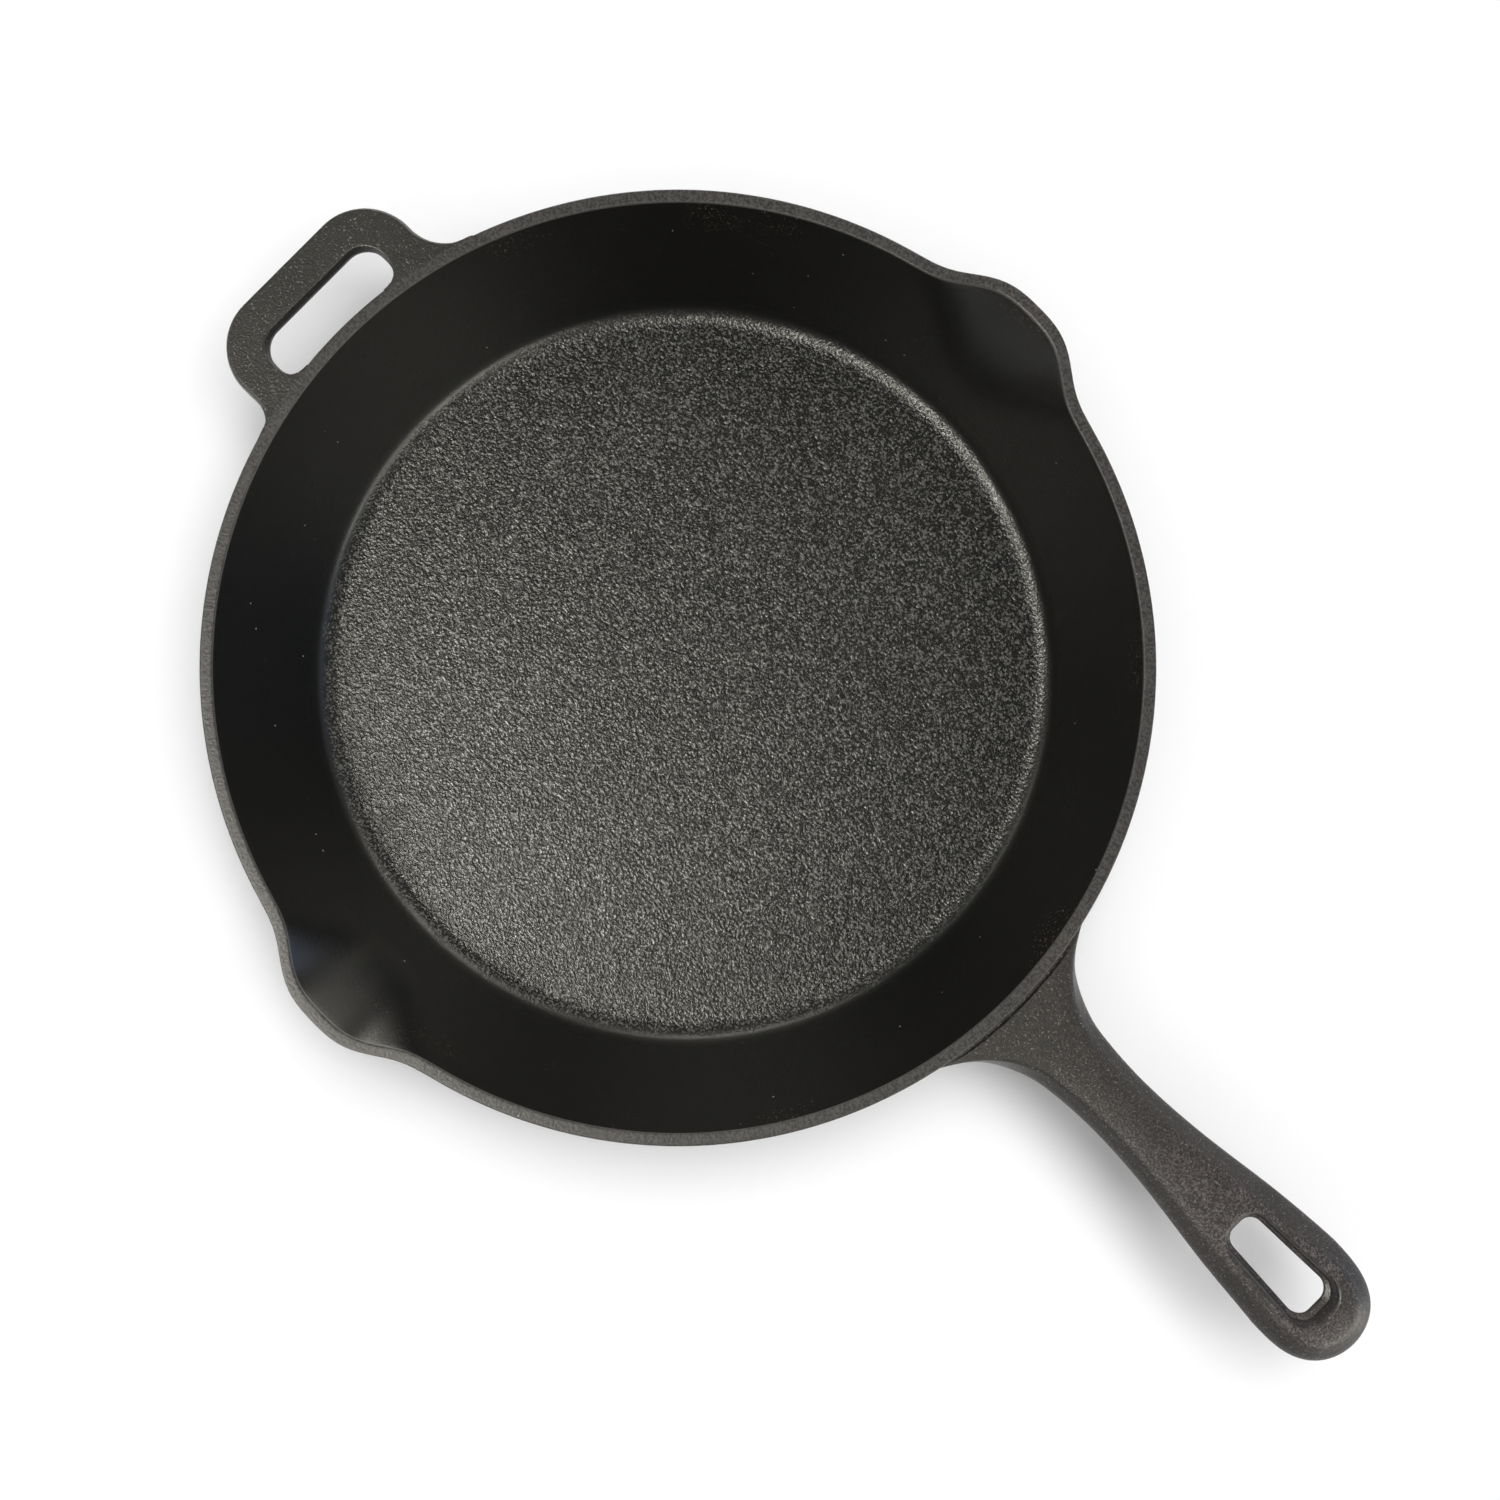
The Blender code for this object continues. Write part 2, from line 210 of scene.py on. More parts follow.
def smooth_min(a, b, reach):
    """The lower of two distances, rounded where they come within a reach of each other."""
    share = np.clip(0.5 + 0.5 * (b - a) / reach, 0.0, 1.0)
    return b * (1.0 - share) + a * share - reach * share * (1.0 - share)


def smooth_max(a, b, reach):
    """The higher of two distances, rounded in the same way."""
    return -smooth_min(-a, -b, reach)


def round_corner(before, corner, after, radius, steps):
    """Points along an arc of this radius that touches both legs of a corner."""
    before, corner, after = (np.array(p, float) for p in (before, corner, after))
    back = (before - corner) / np.linalg.norm(before - corner)
    on = (after - corner) / np.linalg.norm(after - corner)
    half = 0.5 * math.acos(float(back @ on))
    bisector = (back + on) / np.linalg.norm(back + on)
    centre = corner + bisector * radius / math.sin(half)
    first = corner + back * radius / math.tan(half) - centre
    side = first[1] * back[0] - first[0] * back[1]
    turn = math.copysign(math.pi - 2.0 * half, side)
    points = []
    for step in range(steps + 1):
        angle = turn * step / steps
        cosine, sine = math.cos(angle), math.sin(angle)
        points.append(
            (
                centre[0] + first[0] * cosine - first[1] * sine,
                centre[1] + first[0] * sine + first[1] * cosine,
            )
        )
    return points


def spline(points, steps):
    """A smooth curve through the points, with this many steps to each stretch."""
    points = np.array(points, float)
    padded = np.vstack([points[:1], points, points[-1:]])
    path = []
    for index in range(len(points) - 1):
        a, b, c, d = padded[index : index + 4]
        for t in np.arange(steps) / steps:
            curve = 2.0 * b + (c - a) * t + (2.0 * a - 5.0 * b + 4.0 * c - d) * t**2
            path.append(tuple(0.5 * (curve + (3.0 * b - a - 3.0 * c + d) * t**3)))
    path.append(tuple(points[-1]))
    return path


def stretch(start, end, parts):
    """Points from just after a start up to an end."""
    return [
        (
            start[0] + (end[0] - start[0]) * i / parts,
            start[1] + (end[1] - start[1]) * i / parts,
        )
        for i in range(1, parts + 1)
    ]


def mesh_piece(name, verts, faces, normals=None):
    """A smooth mesh object that rides on the part's one body."""
    mesh = bpy.data.meshes.new(name)
    mesh.from_pydata(verts.tolist(), [], faces)
    mesh.validate()
    mesh.shade_smooth()
    if normals is not None:
        mesh.normals_split_custom_set_from_vertices(normals.tolist())
    obj = bpy.data.objects.new(name, mesh)
    bpy.context.scene.collection.objects.link(obj)
    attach(obj, "root")
    return obj


# ================================================================ the pan
def wall_radius(z):
    """Radius of the pan's outer wall at this height, before its edges are rounded."""
    return RIM_RADIUS - (PAN_HEIGHT - z) * math.tan(WALL_LEAN)


def pan_section():
    """Half section from the middle of the cooking floor round to the middle of the underside."""
    centre = (0.0, FLOOR_THICKNESS)
    inner_foot = (wall_radius(FLOOR_THICKNESS) - WALL_THICKNESS, FLOOR_THICKNESS)
    inner_lip = (RIM_RADIUS - WALL_THICKNESS, PAN_HEIGHT)
    outer_lip = (RIM_RADIUS, PAN_HEIGHT)
    outer_foot = (wall_radius(0.0), 0.0)
    under = (0.0, 0.0)
    fillet = round_corner(centre, inner_foot, inner_lip, FLOOR_FILLET, FILLET_STEPS)
    inner_edge = round_corner(inner_foot, inner_lip, outer_lip, RIM_EDGE_ROUND, INNER_EDGE_STEPS)
    outer_edge = round_corner(inner_lip, outer_lip, outer_foot, RIM_EDGE_ROUND, OUTER_EDGE_STEPS)
    base = round_corner(outer_lip, outer_foot, under, BASE_ROUND, BASE_STEPS)
    return (
        stretch(centre, fillet[0], FLOOR_STEPS)
        + fillet[1:]
        + stretch(fillet[-1], inner_edge[0], WALL_STEPS)
        + inner_edge[1:]
        + stretch(inner_edge[-1], outer_edge[0], RIM_STEPS)
        + outer_edge[1:]
        + stretch(outer_edge[-1], base[0], OUTSIDE_STEPS)
        + base[1:]
        + stretch(base[-1], under, UNDER_STEPS)[:-1]
    )


def spout_bulge(angle, z):
    """How far the wall is pushed out at these angles and heights by the pour spouts."""
    rise = np.clip((z - SPOUT_FOOT) / (PAN_HEIGHT - SPOUT_FOOT), 0.0, 1.0)
    half_angle = SPOUT_HALF_ANGLE * (SPOUT_FOOT_SHARE + (1.0 - SPOUT_FOOT_SHARE) * rise)
    bulge = np.zeros(np.broadcast(angle, z).shape)
    for centre, reach in SPOUTS:
        off = np.abs((angle - centre + math.pi) % math.tau - math.pi) / half_angle
        bulge = bulge + reach * rise**SPOUT_FLARE * np.exp(-(off**SPOUT_FLATNESS))
    return bulge


def make_pan():
    """The pan, turned from its section and pushed out at the spouts."""
    section = np.array(pan_section())
    angles = np.arange(PAN_SEGMENTS) * math.tau / PAN_SEGMENTS
    radius = section[:, :1] + spout_bulge(angles[None, :], section[:, 1:2])
    ring = np.stack(
        [
            radius * np.cos(angles),
            radius * np.sin(angles),
            np.repeat(section[:, 1:2], PAN_SEGMENTS, axis=1),
        ],
        axis=-1,
    )
    verts = ring.reshape(-1, 3)
    rows = len(section)
    index = np.arange(rows * PAN_SEGMENTS).reshape(rows, PAN_SEGMENTS)
    beside = np.roll(index, -1, axis=1)
    quads = np.stack([index[:-1], index[1:], beside[1:], beside[:-1]], axis=-1).reshape(-1, 4)
    floor_centre = len(verts)
    under_centre = floor_centre + 1
    verts = np.vstack([verts, [(0.0, 0.0, FLOOR_THICKNESS), (0.0, 0.0, 0.0)]])
    faces = quads.tolist()
    for a, b in zip(index[0].tolist(), beside[0].tolist()):
        faces.append((floor_centre, a, b))
    for a, b in zip(index[-1].tolist(), beside[-1].tolist()):
        faces.append((a, under_centre, b))
    return mesh_piece("pan_casting", verts, faces)


# ================================================================ solids described by distances
class Plan:
    """Distance in plan from a closed outline, positive inside it, kept on a fine grid."""

    def __init__(self, outline, low, high, step=PLAN_STEP):
        self.low = np.array(low[:2]) - PLAN_MARGIN * step
        self.step = step
        counts = np.ceil((np.array(high[:2]) - self.low) / step).astype(int) + 4
        xs = self.low[0] + step * np.arange(counts[0])
        ys = self.low[1] + step * np.arange(counts[1])
        self.grid = np.stack([self.row(np.asarray(outline), x, ys) for x in xs])

    @staticmethod
    def row(start, x, ys):
        """Distances from the outline along a line of constant x."""
        end = np.roll(start, -1, axis=0)
        edge = end - start
        dx = x - start[:, 0]
        dy = ys[:, None] - start[:, 1]
        share = (dx * edge[:, 0] + dy * edge[:, 1]) / (edge**2).sum(1)
        share = np.clip(share, 0.0, 1.0)
        apart = (dx - share * edge[:, 0]) ** 2 + (dy - share * edge[:, 1]) ** 2
        nearest = np.sqrt(apart.min(1))
        spans = (start[:, 0] > x) != (end[:, 0] > x)
        slope = edge[:, 1] / np.where(edge[:, 0] == 0.0, 1.0, edge[:, 0])
        inside = (spans & (dy < dx * slope)).sum(1) % 2 == 1
        return np.where(inside, nearest, -nearest)

    def __call__(self, x, y):
        u, v = (x - self.low[0]) / self.step, (y - self.low[1]) / self.step
        i = np.clip(np.floor(u).astype(int), 1, self.grid.shape[0] - 3)
        j = np.clip(np.floor(v).astype(int), 1, self.grid.shape[1] - 3)
        across, along = self.weights(u - i), self.weights(v - j)
        found = 0.0
        for a in range(4):
            for b in range(4):
                found = found + across[a] * along[b] * self.grid[i + a - 1, j + b - 1]
        return found

    @staticmethod
    def weights(t):
        """Shares of the four grid lines round a point, for a smooth cubic between them."""
        return (
            0.5 * t * ((2.0 - t) * t - 1.0),
            0.5 * (t * t * (3.0 * t - 5.0) + 2.0),
            0.5 * t * ((4.0 - 3.0 * t) * t + 1.0),
            0.5 * t * t * (t - 1.0),
        )


def surface_net(values, low, step):
    """Vertices and quads of the surface where a grid of values changes sign."""
    shape = np.array(values.shape)
    cells = shape - 1
    total = np.zeros((*cells, 3))
    count = np.zeros(cells)
    crossings = []
    for axis in range(3):
        lower = np.take(values, np.arange(shape[axis] - 1), axis=axis)
        upper = np.take(values, np.arange(1, shape[axis]), axis=axis)
        at = np.argwhere((lower < 0) != (upper < 0))
        a = lower[tuple(at.T)]
        b = upper[tuple(at.T)]
        point = at.astype(float)
        point[:, axis] += a / (a - b)
        crossings.append((axis, at, a < 0))
        first, second = [k for k in range(3) if k != axis]
        for i in (0, 1):
            for j in (0, 1):
                cell = at.copy()
                cell[:, first] -= i
                cell[:, second] -= j
                ok = ((cell >= 0) & (cell < cells)).all(1)
                np.add.at(total, tuple(cell[ok].T), point[ok])
                np.add.at(count, tuple(cell[ok].T), 1)
    used = np.argwhere(count > 0)
    number = np.full(cells, -1)
    number[tuple(used.T)] = np.arange(len(used))
    verts = low + step * total[tuple(used.T)] / count[tuple(used.T)][:, None]
    quads = []
    for axis, at, leaving in crossings:
        first, second = (axis + 1) % 3, (axis + 2) % 3
        around = []
        for i, j in ((0, 0), (1, 0), (1, 1), (0, 1)):
            cell = at.copy()
            cell[:, first] -= i
            cell[:, second] -= j
            around.append(number[tuple(cell.T)])
        quad = np.stack(around, axis=-1)
        quads.append(np.where(leaving[:, None], quad, quad[:, ::-1]))
    return verts, np.vstack(quads)


def solid_surface(field, outlines, low, high, step):
    """Mesh of the solid where field(x, y, z, plan distances) is below zero, with its normals."""
    low, high = np.array(low), np.array(high)
    counts = np.ceil((high - low) / step).astype(int) + 1
    xs, ys, zs = (low[k] + step * np.arange(counts[k]) for k in range(3))
    plans = [Plan(outline, low, high) for outline in outlines]

    def at(x, y, z):
        return field(x, y, z, [plan(x, y) for plan in plans])

    values = at(xs[:, None, None], ys[None, :, None], zs[None, None, :])
    for axis in range(3):
        for end in (0, -1):
            side = np.moveaxis(values, axis, 0)[end]
            side[...] = np.maximum(side, step)
    verts, quads = surface_net(values, low, step)

    def gradient(points, near):
        slope = np.empty_like(points)
        for axis in range(3):
            shift = np.zeros(3)
            shift[axis] = near
            ahead, behind = at(*(points + shift).T), at(*(points - shift).T)
            slope[:, axis] = (ahead - behind) / (2.0 * near)
        return slope

    # Moves each vertex onto the surface, by no more than half a grid step at a time
    for _ in range(SETTLE_ROUNDS):
        slope = gradient(verts, SETTLE_PROBE)
        square = np.maximum((slope**2).sum(-1), 0.25)
        move = at(*verts.T)[:, None] * slope / square[:, None]
        length = np.linalg.norm(move, axis=1, keepdims=True)
        verts = verts - move * np.minimum(1.0, 0.5 * step / np.maximum(length, 1e-12))
    slope = gradient(verts, NORMAL_PROBE)
    normals = slope / np.maximum(np.linalg.norm(slope, axis=1, keepdims=True), 1e-9)
    return verts, quads.tolist(), normals


def outer_wall(x, y, z):
    """Distance outside the pan's outer wall, from a hair inside its surface."""
    return (np.hypot(x, y) - wall_radius(z)) * math.cos(WALL_LEAN) + SKIN_SINK


def rounded_plate(side, z, top, bottom, shoulder, edge):
    """Distance outside a plate whose sides bulge out to the full outline halfway up."""
    middle = 0.5 * (top + bottom)
    half = 0.5 * (top - bottom)
    off = np.abs(z - middle)
    lean = np.minimum(off / half, SHOULDER_LIMIT) ** SHOULDER_FULLNESS
    slope = SHOULDER_FULLNESS * shoulder / half * np.minimum(off / half, 1.0)
    return smooth_max((shoulder * lean - side) / np.hypot(1.0, slope), off - half, edge)


# ================================================================ the long handle
def long_handle_outline():
    """Closed outline of the long handle in plan."""
    side = spline(HANDLE_SIDE, HANDLE_SIDE_STEPS)
    widest_x, widest_y = side[-1]
    length = HANDLE_END - widest_x
    tip = []
    for angle in np.linspace(0.0, 0.5 * math.pi, HANDLE_END_STEPS + 1)[1:-1]:
        x = widest_x + length * math.sin(angle) ** (2.0 / HANDLE_END_FULLNESS)
        tip.append((x, widest_y * math.cos(angle)))
    half = side + tip + [(HANDLE_END, 0.0)]
    return half + [(x, -y) for x, y in half[-2::-1]]


def slot_outline():
    """Closed outline of the hanging slot, at the handle's faces."""
    corners = (
        (SLOT_NEAR, -SLOT_NEAR_HALF_WIDTH),
        (SLOT_FAR, -SLOT_FAR_HALF_WIDTH),
        (SLOT_FAR, SLOT_FAR_HALF_WIDTH),
        (SLOT_NEAR, SLOT_NEAR_HALF_WIDTH),
    )
    rounds = (SLOT_NEAR_ROUND, SLOT_FAR_ROUND, SLOT_FAR_ROUND, SLOT_NEAR_ROUND)
    points = []
    for index, (corner, radius) in enumerate(zip(corners, rounds)):
        after = corners[(index + 1) % 4]
        points += round_corner(corners[index - 1], corner, after, radius, SLOT_CORNER_STEPS)
    return points


def long_handle_field(x, y, z, plans):
    """Distance outside the long handle, with its slot, its root and the skin on the wall."""
    side, slot = plans
    share = (x - RIM_RADIUS) / (HANDLE_END - RIM_RADIUS)
    top = HANDLE_TOP_AT_ROOT + (HANDLE_TOP_AT_END - HANDLE_TOP_AT_ROOT) * share
    deeper = smoothstep((RIM_RADIUS + HANDLE_ROOT_LENGTH - x) / HANDLE_ROOT_LENGTH)
    bottom = top - HANDLE_THICKNESS - HANDLE_ROOT_DEPTH * deeper
    shoulder = np.interp(x, SHOULDER_AT, SHOULDER_WIDTH)
    crown = np.clip(1.0 - (side - shoulder) / CROWN_WIDTH, 0.0, CROWN_LIMIT)
    lower = CROWN_DROP * crown**2
    plate = rounded_plate(side, z, top - lower, bottom, shoulder, SHOULDER_CREASE)
    half = 0.5 * HANDLE_THICKNESS
    off = np.abs(z - top + half)
    inwards = np.clip(1.0 - off / half, 0.0, 1.0)
    rib = 1.0 - smoothstep((off - SLOT_RIB_HALF_HEIGHT) / SLOT_RIB_SLOPE)
    far = smoothstep((x - SLOT_FAR + SLOT_FAR_START) / SLOT_FAR_LENGTH)
    narrowing = (SLOT_DRAFT + (SLOT_FAR_DRAFT - SLOT_DRAFT) * far) * inwards
    narrowing = narrowing + (SLOT_RIB + (SLOT_FAR_RIB - SLOT_RIB) * far) * rib
    plate = smooth_max(plate, slot - narrowing, SLOT_LIP)
    wall = outer_wall(x, y, z)
    growth = smoothstep((top - z - ROOT_FILLET_START) / ROOT_FILLET_DEPTH)
    reach = ROOT_FILLET + ROOT_FILLET_GROWTH * growth
    joined = smooth_min(plate, wall, reach)
    groove = np.hypot(np.hypot(x, y) - RIM_RADIUS - ROOT_GROOVE_OFFSET, z - top)
    joined = smooth_max(joined, ROOT_GROOVE - groove, ROOT_GROOVE_EDGE)
    joined = np.maximum(joined, -(wall + SKIN_DEPTH))
    joined = np.maximum(joined, plate - reach)
    return np.maximum(joined, z - (PAN_HEIGHT - RIM_EDGE_ROUND))


def handle_offset(x):
    """How far the handle's middle line lies to one side, which dies out towards its end."""
    fade = smoothstep((x - OFFSET_FADE_START) / OFFSET_FADE_LENGTH)
    return HANDLE_OFFSET * (1.0 - OFFSET_FADE_SHARE * fade)


def make_long_handle():
    outlines = []
    for outline in (long_handle_outline(), slot_outline()):
        outlines.append([(x, y + handle_offset(x)) for x, y in outline])
    low = HANDLE_GRID_LOW
    high = (HANDLE_END + GRID_END_ROOM, HANDLE_GRID_HALF_WIDTH, PAN_HEIGHT + GRID_TOP_ROOM)
    surface = solid_surface(long_handle_field, outlines, low, high, HANDLE_GRID_STEP)
    return mesh_piece("long_handle_casting", *surface)


# ================================================================ the helper handle
def helper_side(root_fillet):
    """One side of the helper handle in plan, as if it lay along +X, out to its corner."""
    cosine, sine = math.cos(HELPER_ROOT_ANGLE), math.sin(HELPER_ROOT_ANGLE)
    touch = (RIM_RADIUS * cosine, RIM_RADIUS * sine)
    along = (touch[1] - HELPER_HALF_WIDTH) / cosine
    root = (touch[0] + along * sine, HELPER_HALF_WIDTH)
    corner = (HELPER_REACH, HELPER_HALF_WIDTH)
    side = [(HELPER_SLOT_INNER, touch[1]), touch]
    side += round_corner(touch, root, corner, root_fillet, HELPER_ROOT_STEPS)
    end = (HELPER_REACH, 0.0)
    return side + round_corner(root, corner, end, HELPER_CORNER, HELPER_CORNER_STEPS)


def helper_outline():
    """Closed outline of the helper handle in plan, whose two roots differ in their fillets."""
    low_side, high_side = (helper_side(fillet) for fillet in HELPER_ROOT_FILLETS)
    return [(x, -y) for x, y in low_side] + high_side[::-1]


def helper_slot_outline():
    """Closed outline of the finger slot, which runs on into the pan's wall."""
    half = HELPER_SLOT_HALF_LENGTH
    start, end = (HELPER_SLOT_INNER, -half), (HELPER_SLOT_INNER, half)
    low, high = (HELPER_SLOT_OUTER, -half), (HELPER_SLOT_OUTER, half)
    points = [start]
    points += round_corner(start, low, high, HELPER_SLOT_CORNER, HELPER_SLOT_STEPS)
    points += round_corner(low, high, end, HELPER_SLOT_CORNER, HELPER_SLOT_STEPS)
    return points + [end]


def helper_field(x, y, z, plans):
    """Distance outside the helper handle, with its slot, its roots and the skin on the wall."""
    side, slot = plans
    across = np.abs(y - HELPER_OFFSET)
    deeper = smoothstep((RIM_RADIUS + HELPER_ROOT_LENGTH + x) / HELPER_ROOT_LENGTH)
    top = PAN_HEIGHT - HELPER_TOP_DROP
    bottom = PAN_HEIGHT - HELPER_THICKNESS - HELPER_ROOT_DEPTH * deeper
    plate = rounded_plate(side, z, top, bottom, HELPER_SHOULDER, HELPER_CREASE)
    half = 0.5 * HELPER_THICKNESS
    off = np.abs(z - PAN_HEIGHT + half)
    inwards = np.clip(1.0 - off / half, 0.0, 1.0)
    plate = smooth_max(plate, slot - HELPER_SLOT_DRAFT * inwards, HELPER_SLOT_LIP)
    wall = outer_wall(x, y, z)
    middle = 1.0 - smoothstep((across - HELPER_MIDDLE_END) / HELPER_MIDDLE_FADE)
    under = smoothstep((PAN_HEIGHT - z - HELPER_UNDER_START) / HELPER_UNDER_DEPTH)
    reach = (HELPER_FILLET + HELPER_UNDER_FILLET * under + HELPER_MIDDLE_FILLET * middle) * MM
    joined = smooth_min(plate, wall, reach)
    joined = smooth_max(joined, z - top, HELPER_TOP_EDGE)
    joined = np.maximum(joined, -(wall + SKIN_DEPTH))
    return np.maximum(joined, plate - reach)


def make_helper():
    mirrored = []
    for outline in (helper_outline(), helper_slot_outline()):
        mirrored.append([(-x, y + HELPER_OFFSET) for x, y in outline])
    half = HELPER_GRID_HALF_WIDTH
    low = (-HELPER_REACH - GRID_END_ROOM, HELPER_OFFSET - half, HELPER_GRID_BOTTOM)
    high = (HELPER_GRID_INNER, HELPER_OFFSET + half, PAN_HEIGHT + GRID_TOP_ROOM)
    surface = solid_surface(helper_field, mirrored, low, high, HELPER_GRID_STEP)
    return mesh_piece("helper_handle_casting", *surface)


# ================================================================ materials
class Nodes:
    """Short names for the shader nodes that the materials use."""

    def __init__(self, name):
        self.material = bpy.data.materials.new(name)
        self.material.use_nodes = True
        self.tree = self.material.node_tree
        self.shader = self.tree.nodes["Principled BSDF"]

    def link(self, value, socket):
        if isinstance(value, bpy.types.NodeSocket):
            self.tree.links.new(value, socket)
        else:
            socket.default_value = value

    def node(self, kind, inputs, **settings):
        made = self.tree.nodes.new(kind)
        for key, value in settings.items():
            setattr(made, key, value)
        for key, value in inputs.items():
            self.link(value, made.inputs[key])
        return made

    def math(self, operation, a, b=0.0, c=0.0, clamp=False):
        made = self.tree.nodes.new("ShaderNodeMath")
        made.operation = operation
        made.use_clamp = clamp
        for value, socket in zip((a, b, c), made.inputs):
            self.link(value, socket)
        return made.outputs[0]

    def ramp(self, value, low, high, from_value=0.0, to_value=1.0):
        """Smooth change from one value to another as the input goes from low to high."""
        made = self.node(
            "ShaderNodeMapRange",
            {0: value, 1: low, 2: high, 3: from_value, 4: to_value},
            interpolation_type="SMOOTHSTEP",
        )
        return made.outputs[0]

    def mix(self, share, a, b):
        made = self.tree.nodes.new("ShaderNodeMix")
        made.data_type = "RGBA"
        self.link(share, made.inputs[0])
        self.link(a, made.inputs[6])
        self.link(b, made.inputs[7])
        return made.outputs[2]

    def noise(self, vector, scale, detail, roughness):
        inputs = {"Vector": vector, "Scale": scale, "Detail": detail, "Roughness": roughness}
        return self.node("ShaderNodeTexNoise", inputs).outputs[0]

    def cell_distance(self, vector, scale):
        """Distance to the nearest of a scatter of points."""
        inputs = {"Vector": vector, "Scale": scale}
        return self.node("ShaderNodeTexVoronoi", inputs).outputs["Distance"]

    def bump(self, height, distance, strength=1.0, normal=None):
        inputs = {"Height": height, "Distance": distance, "Strength": strength}
        if normal is not None:
            inputs["Normal"] = normal
        return self.node("ShaderNodeBump", inputs).outputs[0]

    def finish(self, colour, rough, normal):
        """The oiled iron's own values and links, the same on every piece."""
        self.link(colour, self.shader.inputs["Base Color"])
        self.link(rough, self.shader.inputs["Roughness"])
        self.link(normal, self.shader.inputs["Normal"])
        self.shader.inputs["Specular IOR Level"].default_value = SPECULAR
        self.shader.inputs["Specular Tint"].default_value = OILED
        return self.material


SPECULAR = 0.5
OILED = (1.0, 0.985, 0.93, 1.0)
# Colour of the iron in its hollows, on its grains and on its few bright specks
IRON_WALL = (0.0062, 0.0061, 0.0056, 1.0)
IRON_SPECK = (0.2600, 0.2450, 0.2300, 1.0)
IRON_RESIDUE = (0.0900, 0.0640, 0.0430, 1.0)
RESIDUE_STRENGTH = 0.8
FLOOR_HOLLOW = (0.0010, 0.0010, 0.0009, 1.0)
FLOOR_GRAIN = (0.1250, 0.1225, 0.1150, 1.0)
RIM_HOLLOW = (0.0090, 0.0080, 0.0078, 1.0)
RIM_GRAIN = (0.0440, 0.0402, 0.0393, 1.0)
# A painted highlight: the lighter colour of the line along the rim's rounded inner edge
PAINTED_EDGE_HIGHLIGHT = (0.0800, 0.0750, 0.0720, 1.0)
HANDLE_HOLLOW = (0.0120, 0.0100, 0.0088, 1.0)
HANDLE_GRAIN = (0.0310, 0.0260, 0.0225, 1.0)
HANDLE_FAR_GRAIN = (0.0880, 0.0680, 0.0730, 1.0)
HELPER_GRAIN = (0.0160, 0.0155, 0.0120, 1.0)

# A noise is given as its scale, its detail and its roughness, and a range is where a smooth
# change starts and ends. RIM_RANGE and the painted edge highlight's range are measured down from
# the rim's top.
GRAIN_NOISE = (1.5, 0.6)
GRAIN_RANGE = (0.42, 0.62)

# The pan: how its zones are told apart
FACING_UP = (-0.12, 0.12)
RIM_RANGE = (0.45 * MM, 0.10 * MM)
# Where the painted highlight along the rim's inner edge lies, measured down from the rim's top
PAINTED_EDGE_HIGHLIGHT_RANGE = (0.75 * MM, 0.45 * MM)
WALL_RANGE = (8.0 * MM, 13.0 * MM)
PEBBLES_END = (122.8 * MM, 126.4 * MM)
PEBBLES_NOISE = (110.0, 3.0, 0.6)
PEBBLES_WANDER = 4.0 * MM
PEBBLES_SHIFT = 2.0 * MM
# The pebbled cooking floor, whose grain tops are bare iron
PEBBLE_SIZE = 0.90 * MM
PEBBLE_HEIGHT = 0.38 * MM
PEBBLE_RANGE = (0.51, 0.63)
PEBBLE_FADE = (80.0 * MM, 116.0 * MM)
PEBBLE_FADED = 0.82
BARE_GRAIN = 0.7
# The ground rim: streaks along it over sand
STREAK_ACROSS = 0.25
STREAK_NOISE = (1000.0, 2.0, 0.6)
STREAK_SHARE = 0.35
RIM_SAND_SIZE = 0.9 * MM
RIM_SAND_SHARE = 0.65
RIM_RELIEF = 0.16 * MM
RIM_GRAIN_RANGE = (0.40, 0.60)
# The outside, and the fine grain that is everywhere
OUTER_GRAIN_SIZE = 1.3 * MM
OUTER_RELIEF = 0.30 * MM
FINE_NOISE = (900.0, 2.0, 0.5)
FINE_RELIEF = 0.03 * MM
# Light specks on wall and rim, and patches of brown residue near the lip
SPECK_SCALE = 110.0
SPECK_RANGE = (0.022, 0.045)
PATCH_NOISE = (22.0, 2.0, 0.5)
PATCH_RANGE = (0.50, 0.66)
RESIDUE_NOISE = (1250.0, 1.0, 0.5)
RESIDUE_RANGE = (0.60, 0.70)
RESIDUE_HEIGHT = (36.0 * MM, 53.0 * MM)
# Roughness, and what the zones add to it
PAN_MOTTLE_NOISE = (60.0, 3.0, 0.55)
PAN_ROUGH = 0.28
PAN_MOTTLE = 0.08
CAST_ROUGH = 0.20
WALL_POLISH = -0.06

# The handles
HANDLE_GRAIN_SIZE = 0.75 * MM
HANDLE_FINE_NOISE = (1700.0, 1.0, 0.5)
HANDLE_FINE_SHARE = 0.3
HANDLE_RELIEF = 0.14 * MM
HANDLE_MOTTLE_NOISE = (55.0, 3.0, 0.55)
HANDLE_ROUGH = 0.37
HANDLE_MOTTLE = 0.10
FAR_TONE_RANGE = (0.16, 0.26)
TONE_PATCH_RANGE = (0.30, 0.60)
# Painted light and shade: the grain stays full on upward faces and is dimmed to this share on the
# shoulders and sides
PAINTED_LIT_FACE_RANGE = (0.80, 0.97)
PAINTED_SHOULDER_SHADE = 0.25
HANDLE_SPECK_NOISE = (1500.0, 1.0, 0.5)
HANDLE_SPECK_RANGE = (0.64, 0.72)
HANDLE_SPECK_STRENGTH = 0.45


def place(nodes):
    """Object coordinates, and their parts."""
    where = nodes.tree.nodes.new("ShaderNodeTexCoord").outputs["Object"]
    split = nodes.node("ShaderNodeSeparateXYZ", {0: where})
    return where, split.outputs[0], split.outputs[1], split.outputs[2]


